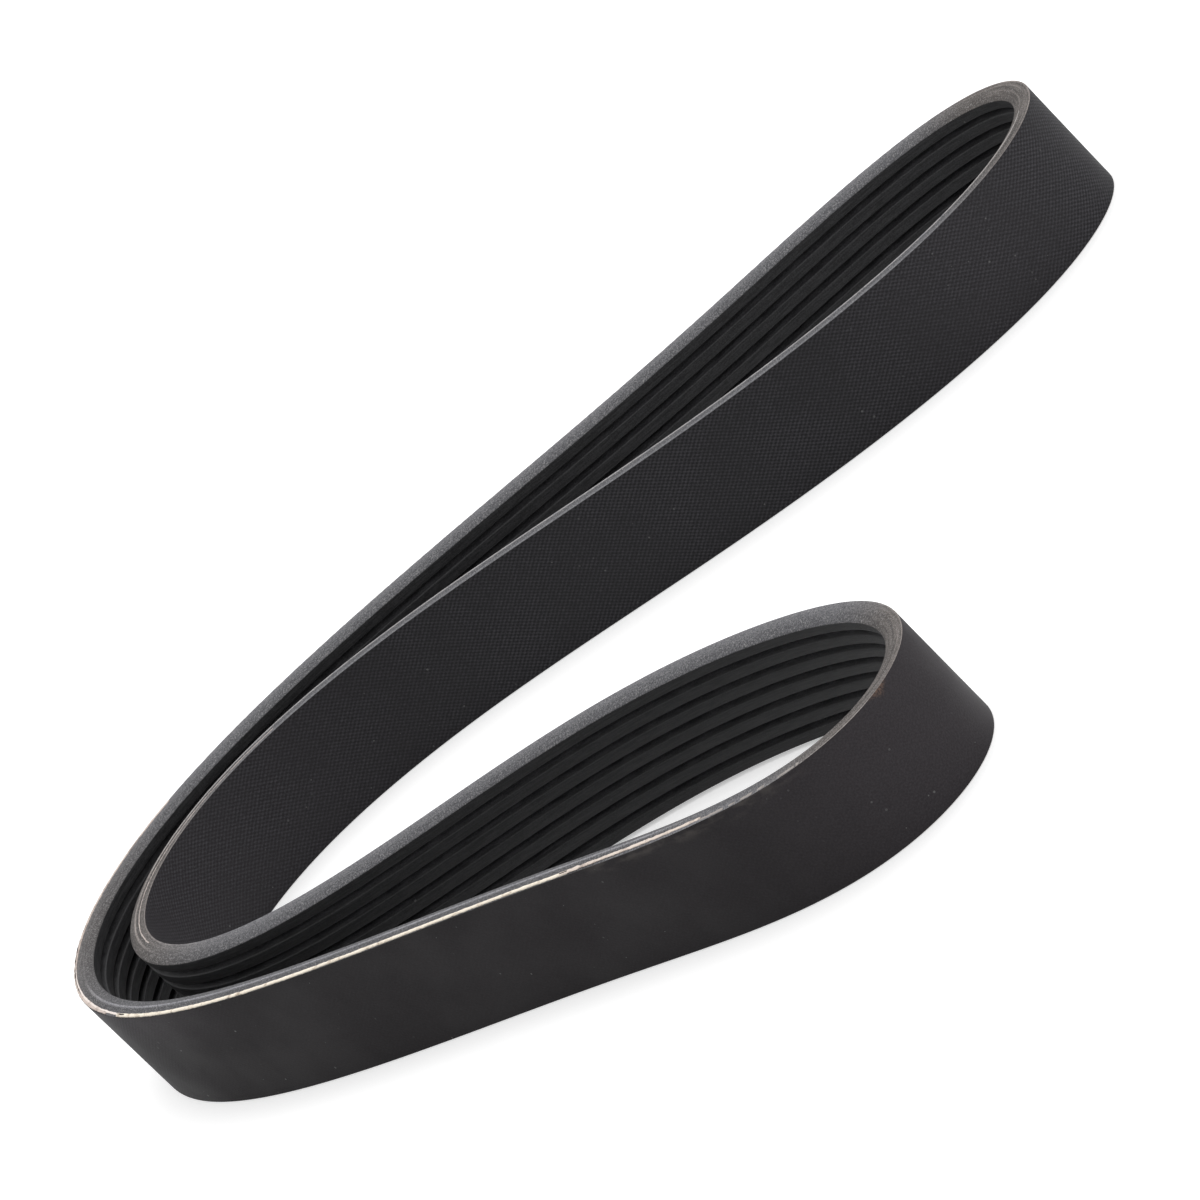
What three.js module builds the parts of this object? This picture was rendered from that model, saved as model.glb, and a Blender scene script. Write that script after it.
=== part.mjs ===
// Multi-rib serpentine belt, lying free on its cut edge. Millimetres, +Z up.
import * as THREE from 'three';

// Section: seven K-section ribs, each side cut down the middle of a groove.
const RIB_COUNT = 7;
const RIB_PITCH = 3.56;
const GROOVE_ANGLE = 40;
const RIB_DEPTH = 1.8;
const ROOT_WIDTH = 0.25;
const TIP_BEVEL = 0.22;
const BELT_THICKNESS = 4.5;
const BACK_BEVEL = 0.15;

// Loop, seen from above and measured on the smooth back.
// It is first laid taut round four pegs: the two faces of the elbow, the end of the long arm
// and the end of the short arm.
const LONG_ARM = 185.5;
const SHORT_ARM = 177;
const ARM_ANGLE = 55;
const LONG_END_PEG = 29.5;
const SHORT_END_PEG = 29.5;
const INNER_ELBOW_PEG = 38;
const OUTER_ELBOW_PEG = 47.5;
// The outer elbow peg's place, from the inner one: along the long arm and across it.
const OUTER_ELBOW_ALONG = -7;
const OUTER_ELBOW_ACROSS = 2.5;
// Outward bulge of each taut strand at its middle; a negative one is pinched in.
const LONG_OUTER_BULGE = -4;
const SHORT_OUTER_BULGE = -0.5;
const SHORT_INNER_BULGE = 13;
const LONG_INNER_BULGE = 4;
// How much further a strand swells out in its first half; it is pinched in as much in its last.
const LONG_OUTER_LEAN = -4.5;
const SHORT_OUTER_LEAN = 3;
const SHORT_INNER_LEAN = 7;
const LONG_INNER_LEAN = -5;
// A rubber belt can't bend at once: every bend eases in over this length of belt.
const EASING_LENGTH = 72;

const FINE_POINTS = 1400;
const STATION_COUNT = 120;
const STRAIGHT_SHARE = 0.15;

const RUBBER_COLOUR = 0x3b3b3d;
const RUBBER_ROUGHNESS = 0.86;

const radians = THREE.MathUtils.degToRad;

class Bend {
  // A peg the taut loop turns round; side is +1 with the peg inside the loop, -1 outside it.
  constructor(centre, radius, side) {
    this.centre = centre;
    this.radius = radius;
    this.side = side;
  }

  get signedRadius() {
    return this.radius * this.side;
  }
}

// Straight line that leaves one bend and meets the next, both on the sides they ask for.
function tangentLine(from, to) {
  const gap = new THREE.Vector2().subVectors(to.centre, from.centre);
  const along = gap.clone().normalize();
  const across = new THREE.Vector2(-along.y, along.x);
  const tilt = (from.signedRadius - to.signedRadius) / gap.length();
  const heading = along.clone().multiplyScalar(Math.sqrt(1 - tilt * tilt));
  heading.addScaledVector(across, tilt);
  const inward = new THREE.Vector2(-heading.y, heading.x);
  const start = from.centre.clone().addScaledVector(inward, -from.signedRadius);
  const end = to.centre.clone().addScaledVector(inward, -to.signedRadius);
  return { start, end, inward };
}

// Points round a bend from the line that comes in to the line that goes out.
function bendPoints(bend, arrive, leave) {
  const count = 60;
  const first = arrive.clone().sub(bend.centre).angle();
  const last = leave.clone().sub(bend.centre).angle();
  const turn = THREE.MathUtils.euclideanModulo((last - first) * bend.side, Math.PI * 2);
  const points = [];
  for (let i = 0; i < count; i += 1) {
    const angle = first + bend.side * turn * (i / count);
    const spoke = new THREE.Vector2(Math.cos(angle), Math.sin(angle));
    points.push(bend.centre.clone().addScaledVector(spoke, bend.radius));
  }
  return points;
}

// Points of a strand: a straight line with a smooth swelling that is level at both ends.
function strandPoints(line, { bulge, lean }) {
  const count = 90;
  const points = [];
  for (let i = 0; i < count; i += 1) {
    const share = i / count;
    const point = line.start.clone().lerp(line.end, share);
    const height = bulge + 2 * lean * Math.cos(Math.PI * share);
    points.push(point.addScaledVector(line.inward, -height * Math.sin(Math.PI * share) ** 2));
  }
  return points;
}

function tautLoop() {
  const elbow = new THREE.Vector2(0, 0);
  const outerElbow = new THREE.Vector2(OUTER_ELBOW_ALONG, OUTER_ELBOW_ACROSS);
  const longEnd = new THREE.Vector2(LONG_ARM, 0);
  const shortEnd = new THREE.Vector2(SHORT_ARM, 0).rotateAround(elbow, radians(-ARM_ANGLE));
  const bends = [
    new Bend(longEnd, LONG_END_PEG, 1),
    new Bend(outerElbow, OUTER_ELBOW_PEG, 1),
    new Bend(shortEnd, SHORT_END_PEG, 1),
    new Bend(elbow, INNER_ELBOW_PEG, -1),
  ];
  const swellings = [
    { bulge: LONG_OUTER_BULGE, lean: LONG_OUTER_LEAN },
    { bulge: SHORT_OUTER_BULGE, lean: SHORT_OUTER_LEAN },
    { bulge: SHORT_INNER_BULGE, lean: SHORT_INNER_LEAN },
    { bulge: LONG_INNER_BULGE, lean: LONG_INNER_LEAN },
  ];
  const lines = bends.map((bend, i) => tangentLine(bend, bends[(i + 1) % bends.length]));
  const points = [];
  bends.forEach((bend, i) => {
    const arriving = lines[(i + lines.length - 1) % lines.length];
    points.push(...bendPoints(bend, arriving.end, lines[i].start));
    points.push(...strandPoints(lines[i], swellings[i]));
  });
  return points;
}

// Distances along a closed run of points, with the whole length last.
function distancesRound(points) {
  const distances = [0];
  points.forEach((point, i) => {
    distances.push(distances[i] + point.distanceTo(points[(i + 1) % points.length]));
  });
  return distances;
}

// Places on a closed run of points at the shares given, measured on a growing scale.
function placesAt(points, scale, shares) {
  const total = scale[scale.length - 1];
  let i = 0;
  return shares.map((share) => {
    const target = share * total;
    while (scale[i + 1] < target) i += 1;
    const part = (target - scale[i]) / (scale[i + 1] - scale[i]);
    return points[i].clone().lerp(points[(i + 1) % points.length], part);
  });
}

function evenShares(count) {
  return Array.from({ length: count }, (_, i) => i / count);
}

// Every point becomes the mean of its neighbours within half the easing length each way.
function easedOnce(points, spacing) {
  const reach = Math.round((EASING_LENGTH / spacing - 1) / 2);
  const count = points.length;
  const sum = new THREE.Vector2();
  for (let k = -reach; k <= reach; k += 1) {
    sum.add(points[(k + count) % count]);
  }
  return points.map((_, i) => {
    const mean = sum.clone().divideScalar(2 * reach + 1);
    sum.add(points[(i + reach + 1) % count]);
    sum.sub(points[(i - reach + count) % count]);
    return mean;
  });
}

function easedLoop() {
  const taut = tautLoop();
  const distances = distancesRound(taut);
  const spacing = distances[distances.length - 1] / FINE_POINTS;
  const even = placesAt(taut, distances, evenShares(FINE_POINTS));
  return easedOnce(easedOnce(even, spacing), spacing);
}

// Stations stand closer together where the belt bends, so that every chord cuts its bend by
// about the same amount, and a share of them is spread evenly.
function stationPoints() {
  const fine = easedLoop();
  const count = fine.length;
  const distances = distancesRound(fine);
  const steps = fine.map((_, i) => distances[i + 1] - distances[i]);
  const weights = fine.map((point, i) => {
    const before = point.clone().sub(fine[(i + count - 1) % count]);
    const after = fine[(i + 1) % count].clone().sub(point);
    const turn = Math.abs(Math.atan2(before.cross(after), before.dot(after)));
    return Math.sqrt(turn * steps[i]);
  });
  const weightSum = weights.reduce((sum, weight) => sum + weight, 0);
  const scale = [0];
  fine.forEach((_, i) => {
    const even = STRAIGHT_SHARE * steps[i] / distances[count];
    scale.push(scale[i] + even + (1 - STRAIGHT_SHARE) * weights[i] / weightSum);
  });
  return placesAt(fine, scale, evenShares(STATION_COUNT));
}

// Outline of the section as (depth from the back, height), run so that material is on its left.
function sectionOutline() {
  const width = RIB_COUNT * RIB_PITCH;
  const flank = radians(GROOVE_ANGLE / 2);
  const tipRise = ROOT_WIDTH / 2 + RIB_DEPTH * Math.tan(flank);
  const rootDepth = BELT_THICKNESS - RIB_DEPTH;
  const bevelDepth = TIP_BEVEL * Math.cos(flank);
  const bevelRise = TIP_BEVEL * Math.sin(flank);
  const outline = [
    [BACK_BEVEL, width],
    [0, width - BACK_BEVEL],
    [0, BACK_BEVEL],
    [BACK_BEVEL, 0],
    [rootDepth, 0],
  ];
  for (let rib = 0; rib < RIB_COUNT; rib += 1) {
    const low = rib * RIB_PITCH;
    const high = low + RIB_PITCH;
    outline.push(
      [rootDepth, low + ROOT_WIDTH / 2],
      [BELT_THICKNESS - bevelDepth, low + tipRise - bevelRise],
      [BELT_THICKNESS, low + tipRise + TIP_BEVEL],
      [BELT_THICKNESS, high - tipRise - TIP_BEVEL],
      [BELT_THICKNESS - bevelDepth, high - tipRise + bevelRise],
      [rootDepth, high - ROOT_WIDTH / 2],
    );
  }
  outline.push([rootDepth, width]);
  return outline.map(([depth, height]) => ({ depth, height }));
}

// Sweeps the section round the closed loop and joins the last station to the first.
function sweepRound(stations, outline) {
  const count = stations.length;
  const size = outline.length;
  const positions = [];
  stations.forEach((point, i) => {
    const before = stations[(i + count - 1) % count];
    const after = stations[(i + 1) % count];
    const heading = after.clone().sub(before).normalize();
    outline.forEach(({ depth, height }) => {
      positions.push(point.x - heading.y * depth, point.y + heading.x * depth, height);
    });
  });
  const indices = [];
  for (let i = 0; i < count; i += 1) {
    const here = i * size;
    const next = ((i + 1) % count) * size;
    for (let k = 0; k < size; k += 1) {
      const m = (k + 1) % size;
      indices.push(here + k, here + m, next + m);
      indices.push(here + k, next + m, next + k);
    }
  }
  const geometry = new THREE.BufferGeometry();
  geometry.setAttribute('position', new THREE.Float32BufferAttribute(positions, 3));
  geometry.setIndex(indices);
  return geometry;
}

function buildBelt() {
  const geometry = sweepRound(stationPoints(), sectionOutline());
  geometry.computeBoundingBox();
  const middle = geometry.boundingBox.getCenter(new THREE.Vector3());
  geometry.translate(-middle.x, -middle.y, 0);
  geometry.computeVertexNormals();
  const rubber = new THREE.MeshStandardMaterial({
    color: RUBBER_COLOUR,
    roughness: RUBBER_ROUGHNESS,
    metalness: 0,
    flatShading: true,
  });
  const belt = new THREE.Mesh(geometry, rubber);
  belt.name = 'belt';
  return belt;
}

const group = new THREE.Group();
group.name = 'serpentine_belt';
group.add(buildBelt());

export default group;
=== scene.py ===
"""Serpentine belt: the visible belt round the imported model, and the studio it stands in.

Metres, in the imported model's frame: +Z up, the belt standing on one cut side at z = 0.
"""
import logging
import math
from dataclasses import dataclass
from enum import Enum

import bpy
import numpy as np
from mathutils import Matrix, Vector


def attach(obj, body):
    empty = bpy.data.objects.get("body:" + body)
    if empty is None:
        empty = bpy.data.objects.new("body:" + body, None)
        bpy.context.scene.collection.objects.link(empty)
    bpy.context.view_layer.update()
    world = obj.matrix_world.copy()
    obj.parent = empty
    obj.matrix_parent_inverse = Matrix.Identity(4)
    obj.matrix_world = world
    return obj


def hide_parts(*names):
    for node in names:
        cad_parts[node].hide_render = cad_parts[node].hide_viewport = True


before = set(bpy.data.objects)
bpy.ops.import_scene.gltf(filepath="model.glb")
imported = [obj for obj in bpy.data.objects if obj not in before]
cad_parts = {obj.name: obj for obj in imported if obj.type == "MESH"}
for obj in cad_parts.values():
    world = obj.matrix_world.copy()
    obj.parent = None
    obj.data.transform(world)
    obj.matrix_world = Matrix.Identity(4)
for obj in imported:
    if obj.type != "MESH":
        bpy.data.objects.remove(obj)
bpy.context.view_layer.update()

BODY = "root"
NODE = "belt"
LOG = logging.getLogger("serpentine_belt")

MM = 0.001
FULL_TURN = 2 * math.pi
TOP_LEVEL = 2.0  # the lightest shade that a row of levels may hold

Socket = bpy.types.NodeSocket
Colour = tuple[float, float, float]
Triple = tuple[float, float, float]
Band = tuple[float, float]
Levels = tuple[tuple[float, float], ...]


class Lay(Enum):
    """Maps that the belt's finishes are laid out on."""

    FACE = "face_lay"
    EDGE = "edge_lay"
    RING = "ring_lay"


class Mark(Enum):
    """Measures that the belt carries at each of its points."""

    ALONG = "along"
    DEPTH = "depth"
    BEND = "bend"
    WEAR = "wear"


@dataclass(frozen=True)
class Rise:
    """A level that passes smoothly from below to above while a value goes from start to end."""

    start: float
    end: float
    below: float = 0.0
    above: float = 1.0


@dataclass(frozen=True)
class Cloud:
    """A cloudy pattern: size of its clouds, number and strength of its finer layers."""

    size: float
    detail: float = 2.0
    roughness: float = 0.5


@dataclass(frozen=True)
class Specks:
    """Scattered specks: mean spacing, largest radius, share of the places that have one."""

    spacing: float
    size: float
    kept: float


class NodeBench:
    """A node tree being laid out: nodes are added, set and joined on it."""

    def __init__(self, tree: bpy.types.NodeTree) -> None:
        """Takes the empty tree to work on."""
        self.tree = tree

    def add(self, kind: str, inputs: dict | None = None, **settings: object) -> bpy.types.Node:
        """Adds a node, sets it and joins its inputs.

        Args:
            kind: The node's type name.
            inputs: Socket name or number to a value or another node's output.
            **settings: The node's own properties.

        Returns:
            The new node.
        """
        node = self.tree.nodes.new(kind)
        for name, value in settings.items():
            setattr(node, name, value)
        for key, value in (inputs or {}).items():
            if isinstance(value, Socket):
                self.tree.links.new(value, node.inputs[key])
            else:
                node.inputs[key].default_value = value
        return node

    def math(self, operation: str, *values: object) -> Socket:
        """Adds one sum on one to three values and gives its result."""
        return self.add("ShaderNodeMath", dict(enumerate(values)), operation=operation).outputs[0]

    def product(self, first: object, *others: object) -> Socket:
        """Multiplies values one after the other.

        Args:
            first: The first value.
            *others: The others.

        Returns:
            The product's socket.
        """
        for other in others:
            first = self.math("MULTIPLY", first, other)
        return first

    def parts(self, vector: Socket) -> tuple[Socket, ...]:
        """Takes a vector apart into its three numbers."""
        return tuple(self.add("ShaderNodeSeparateXYZ", {0: vector}).outputs)

    def joined(self, *numbers: object) -> Socket:
        """Joins up to three numbers into a vector."""
        return self.add("ShaderNodeCombineXYZ", dict(enumerate(numbers))).outputs[0]

    def scaled(self, vector: object, level: object) -> Socket:
        """Makes a vector longer or a colour lighter by a level."""
        inputs = {0: vector, "Scale": level}
        return self.add("ShaderNodeVectorMath", inputs, operation="SCALE").outputs[0]

    def rise(self, value: object, how: Rise) -> Socket:
        """Gives the level that a value stands for.

        Args:
            value: The value that is looked at.
            how: The band it passes, and the levels before and after.

        Returns:
            The level's socket.
        """
        node = self.add("ShaderNodeMapRange", {
            "Value": value, "From Min": how.start, "From Max": how.end,
            "To Min": how.below, "To Max": how.above,
        }, interpolation_type="SMOOTHSTEP")
        return node.outputs["Result"]

    def seen(self) -> Socket:
        """Tells rays that show a thing from those that only carry its light.

        Returns:
            A socket that is 1 for camera, mirror and see-through rays.
        """
        rays = self.add("ShaderNodeLightPath").outputs
        seen = self.math("MAXIMUM", rays["Is Camera Ray"], rays["Is Glossy Ray"])
        return self.math("MAXIMUM", seen, rays["Is Transmission Ray"])


def _rgba(colour: object) -> object:
    """Gives a plain colour its fourth number and leaves a socket as it is."""
    return colour if isinstance(colour, Socket) else (*colour, 1.0)


class FinishBench(NodeBench):
    """The shader tree of one finish."""

    def __init__(self, name: str) -> None:
        """Makes the finish's empty material.

        Args:
            name: The finish's name.
        """
        self.material = bpy.data.materials.new(name)
        self.material.use_nodes = True
        self.material.node_tree.nodes.clear()
        super().__init__(self.material.node_tree)

    def lay(self, which: Lay, stretch: Triple = (1, 1, 1)) -> Socket:
        """Reads one of the belt's maps.

        Args:
            which: The map.
            stretch: Scale along each of its axes.

        Returns:
            The coordinates' socket.
        """
        if which is Lay.RING:
            source = self.add("ShaderNodeAttribute", attribute_name=which.value).outputs["Vector"]
        else:
            source = self.add("ShaderNodeUVMap", uv_map=which.value).outputs["UV"]
        return self.add("ShaderNodeMapping", {"Vector": source, "Scale": stretch}).outputs[0]

    def place(self, which: Lay, loop_length: float) -> tuple[Socket, Socket, Socket]:
        """Reads where on the belt a point lies.

        Args:
            which: The map that it is read from.
            loop_length: Once round the belt.

        Returns:
            Distance along the belt, distance across it, and place on the loop as a share of it.
        """
        along, across, _ = self.parts(self.lay(which))
        return along, across, self.math("FRACT", self.math("DIVIDE", along, loop_length))

    def noise(self, where: Socket, cloud: Cloud) -> Socket:
        """Lays a cloudy pattern.

        Args:
            where: The coordinates it is laid on.
            cloud: The pattern.

        Returns:
            Its level's socket, from 0 to 1.
        """
        return self.add("ShaderNodeTexNoise", {
            "Vector": where, "Scale": 1 / cloud.size, "Detail": cloud.detail,
            "Roughness": cloud.roughness,
        }).outputs["Fac"]

    def specks(self, where: Socket, specks: Specks) -> Socket:
        """Scatters small round specks of uneven size.

        Args:
            where: The coordinates they are laid on.
            specks: Their spacing, size and number.

        Returns:
            A socket that is 1 in a speck and 0 outside.
        """
        node = self.add("ShaderNodeTexVoronoi", {"Vector": where, "Scale": 1 / specks.spacing})
        chance = self.add("ShaderNodeSeparateColor", {0: node.outputs["Color"]}).outputs[0]
        radius = self.rise(chance, Rise(1 - specks.kept, 1.0, 0.0, specks.size / specks.spacing))
        return self.math("LESS_THAN", node.outputs["Distance"], radius)

    def stretch(self, share: Socket, span: Band, ease: float) -> Socket:
        """Marks a stretch of the loop.

        Args:
            share: Place on the loop, as a share of it.
            span: Where the stretch starts and ends.
            ease: How far inside its ends it is full.

        Returns:
            A socket that is 1 in the stretch and 0 outside.
        """
        start, end = span
        return self.product(self.rise(share, Rise(start, start + ease)),
                            self.rise(share, Rise(end, end - ease)))

    def follow(self, place: object, reach: float, stops: Levels) -> Socket:
        """Follows a row of levels, each at its own place.

        Args:
            place: The place that is looked at.
            reach: The last place.
            stops: Pairs of place and level, up to TOP_LEVEL, in the order of their places.

        Returns:
            The level's socket.
        """
        node = self.add("ShaderNodeValToRGB", {0: self.math("DIVIDE", place, reach)})
        ramp = node.color_ramp
        ramp.interpolation = "EASE"
        for i, (where, level) in enumerate(stops):
            had = i < len(ramp.elements)
            stop = ramp.elements[i] if had else ramp.elements.new(where / reach)
            stop.position = where / reach
            stop.color = (*[level / TOP_LEVEL] * 3, 1.0)
        return self.product(node.outputs["Color"], TOP_LEVEL)

    def tint(self, share: object, first: object, second: object) -> Socket:
        """Blends two colours or shades.

        Args:
            share: How much of the second one shows.
            first: Colour at 0.
            second: Colour at 1.

        Returns:
            The colour's socket.
        """
        inputs = {0: share, 6: _rgba(first), 7: _rgba(second)}
        return self.add("ShaderNodeMix", inputs, data_type="RGBA").outputs[2]

    def relief(self, height: Socket, depth: float, under: Socket | None = None) -> Socket:
        """Adds fine relief.

        Args:
            height: Level from 0 to 1.
            depth: Height that a level of 1 stands for.
            under: Relief that this one lies on.

        Returns:
            The normal's socket.
        """
        inputs = {"Height": height, "Distance": depth, "Strength": 1.0}
        if under is not None:
            inputs["Normal"] = under
        return self.add("ShaderNodeBump", inputs).outputs["Normal"]

    def surface(self, colour: Socket, roughness: object, specular: float,
                normal: Socket) -> bpy.types.Material:
        """Adds the shader and the output.

        Args:
            colour: The base colour.
            roughness: How matte it is.
            specular: How much it shines.
            normal: Its relief.

        Returns:
            The finished material.
        """
        shader = self.add("ShaderNodeBsdfPrincipled", {
            "Base Color": colour, "Roughness": roughness, "Specular IOR Level": specular,
            "Normal": normal,
        })
        self.add("ShaderNodeOutputMaterial", {"Surface": shader.outputs[0]})
        return self.material


@dataclass(frozen=True)
class BackFabric:
    """Thin black cover fabric, woven on the bias, on the belt's smooth back.

    Places on the loop are shares of it. painted_light_round pairs them with a painted light and
    shade on the cloth, how lit it is made to look there, and weave_round with how plainly the weave
    shows; where it doesn't, the cloth is rubbed smooth.
    """

    loop_length: float
    width: float
    crossings_round: int = 824
    crossing_rise: float = 0.926 * MM
    weave_relief: float = 0.04 * MM
    grain_relief: float = 0.02 * MM
    specular: float = 0.13
    gap_colour: Colour = (0.0150, 0.0145, 0.0160)
    thread_colour: Colour = (0.0515, 0.0500, 0.0555)
    rubbed_colour: Colour = (0.0298, 0.0262, 0.0290)
    dust_colour: Colour = (0.115, 0.115, 0.115)
    rust_colour: Colour = (0.15, 0.095, 0.07)
    scuff_colour: Colour = (0.105, 0.094, 0.087)
    cloud: Cloud = Cloud(16 * MM, 3.0)
    cloud_roughness: Rise = Rise(0.3, 0.7, 0.6, 0.72)
    grain: Cloud = Cloud(0.35 * MM, 2.0, 0.6)
    grain_shade: Rise = Rise(0.3, 0.7, 0.86, 1.14)
    weave_round: Levels = (
        (0.0, 0.7), (0.05, 1.0), (0.31, 0.9), (0.36, 0.12), (0.60, 0.08), (0.65, 0.9),
        (0.74, 0.85), (0.79, 0.55), (0.83, 0.65), (0.88, 1.0), (0.95, 1.0), (1.0, 0.7),
    )
    weave_clouded: Rise = Rise(0.35, 0.62, 0.65, 1.0)
    thread_edge: Rise = Rise(0.1, 0.95)
    thread_grain: Rise = Rise(0.3, 0.7, 0.6, 1.3)
    # Painted light and shade: how lit the cloth is made to look at each place round the loop.
    painted_light_round: Levels = (
        (0.0, 1.15), (0.24, 1.0), (0.285, 0.62), (0.345, 0.56), (0.38, 0.54), (0.5, 0.60),
        (0.545, 1.18), (0.60, 1.1), (0.755, 1.25), (0.80, 1.25), (0.86, 0.9), (0.97, 0.9),
        (1.0, 1.15),
    )
    # The outer elbow's upper half is made lighter than its lower half.
    elbow_span: Band = (0.285, 0.385)
    elbow_ease: float = 0.035
    elbow_light: float = 1.15
    dust: Specks = Specks(2.0 * MM, 0.24 * MM, 0.45)
    dust_cloud: Cloud = Cloud(7 * MM)
    dust_shown: Rise = Rise(0.42, 0.68, 0.1, 0.95)
    # The rust is a smudge with its middle on the upper edge, longer than it is high.
    rust_place: float = 0.5475
    rust_squash: float = 0.6
    rust_reach: Rise = Rise(2.2 * MM, 0.3 * MM)
    rust_grain: Rise = Rise(0.35, 0.6, 0.1, 0.9)
    scuff_span: Band = (0.472, 0.532)
    scuff_ease: float = 0.012
    scuff_reach: Rise = Rise(3.6 * MM, 0.2 * MM, 0.0, 0.5)
    scuff_stretch: Triple = (0.4, 1, 1)
    scuff_cloud: Cloud = Cloud(2.0 * MM)
    scuff_shown: Rise = Rise(0.40, 0.72)

    def weave(self, bench: FinishBench, along: Socket, height: Socket) -> Socket:
        """Lays the thread crossings, a whole number of them round the loop.

        Args:
            bench: The finish's tree.
            along: Distance along the belt.
            height: Distance across it.

        Returns:
            A socket that is 1 on a crossing and 0 in a gap.
        """
        onward = bench.product(along, FULL_TURN * self.crossings_round / self.loop_length)
        upward = bench.product(height, FULL_TURN / self.crossing_rise)
        rising = bench.math("COSINE", bench.math("ADD", onward, upward))
        falling = bench.math("COSINE", bench.math("SUBTRACT", onward, upward))
        return bench.math("MULTIPLY_ADD", bench.math("ADD", rising, falling), 0.25, 0.5)

    def shade(self, bench: FinishBench, share: Socket, drop: Socket) -> Socket:
        """Follows the painted light and shade round the loop, and the outer elbow's lighter upper
        half.

        Args:
            bench: The finish's tree.
            share: Place on the loop.
            drop: Distance below the upper edge.

        Returns:
            The shade's socket.
        """
        upper = bench.product(bench.rise(drop, Rise(self.width / 2, 0.0, 0.0, self.elbow_light)),
                              bench.stretch(share, self.elbow_span, self.elbow_ease))
        return bench.product(bench.follow(share, 1.0, self.painted_light_round),
                             bench.math("ADD", upper, 1.0))

    def rust(self, bench: FinishBench, share: Socket, drop: Socket, grain: Socket) -> Socket:
        """Lays the small rust smudge under the belt's upper edge.

        Args:
            bench: The finish's tree.
            share: Place on the loop.
            drop: Distance below the upper edge.
            grain: Fine pattern that breaks the smudge up.

        Returns:
            A socket that says how rusty the cloth is.
        """
        aside = bench.math("ABSOLUTE", bench.math("SUBTRACT", share, self.rust_place))
        aside = bench.product(aside, self.rust_squash * self.loop_length)
        return bench.product(bench.rise(bench.math("ADD", aside, drop), self.rust_reach),
                             bench.rise(grain, self.rust_grain))

    def scuff(self, bench: FinishBench, share: Socket, drop: Socket) -> Socket:
        """Lays the pale smears under the upper edge, where the bare cord runs out.

        Args:
            bench: The finish's tree.
            share: Place on the loop.
            drop: Distance below the upper edge.

        Returns:
            A socket that says how scuffed the cloth is.
        """
        smear = bench.noise(bench.lay(Lay.FACE, self.scuff_stretch), self.scuff_cloud)
        return bench.product(bench.rise(drop, self.scuff_reach),
                             bench.rise(smear, self.scuff_shown),
                             bench.stretch(share, self.scuff_span, self.scuff_ease))

    def material(self) -> bpy.types.Material:
        """Builds the finish.

        Returns:
            The finished material.
        """
        bench = FinishBench("back_fabric")
        along, height, share = bench.place(Lay.FACE, self.loop_length)
        drop = bench.math("SUBTRACT", self.width, height)
        ring = bench.lay(Lay.RING)
        cloud = bench.noise(ring, self.cloud)
        grain = bench.noise(ring, self.grain)
        weave = self.weave(bench, along, height)
        plain = bench.follow(share, 1.0, self.weave_round)
        bare = bench.product(plain, bench.rise(cloud, self.weave_clouded))
        shown = bench.product(bench.rise(weave, self.thread_edge), bare,
                              bench.rise(grain, self.thread_grain))
        ground = bench.tint(plain, self.rubbed_colour, self.gap_colour)
        cloth = bench.scaled(
            bench.tint(shown, ground, self.thread_colour),
            bench.product(self.shade(bench, share, drop), bench.rise(grain, self.grain_shade)))
        dust = bench.product(bench.specks(ring, self.dust),
                             bench.rise(bench.noise(ring, self.dust_cloud), self.dust_shown))
        colour = bench.tint(dust, cloth, self.dust_colour)
        colour = bench.tint(self.scuff(bench, share, drop), colour, self.scuff_colour)
        colour = bench.tint(self.rust(bench, share, drop, grain), colour, self.rust_colour)
        woven = bench.relief(bench.product(weave, bare), self.weave_relief)
        return bench.surface(colour, bench.rise(cloud, self.cloud_roughness), self.specular,
                             bench.relief(grain, self.grain_relief, woven))


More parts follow.
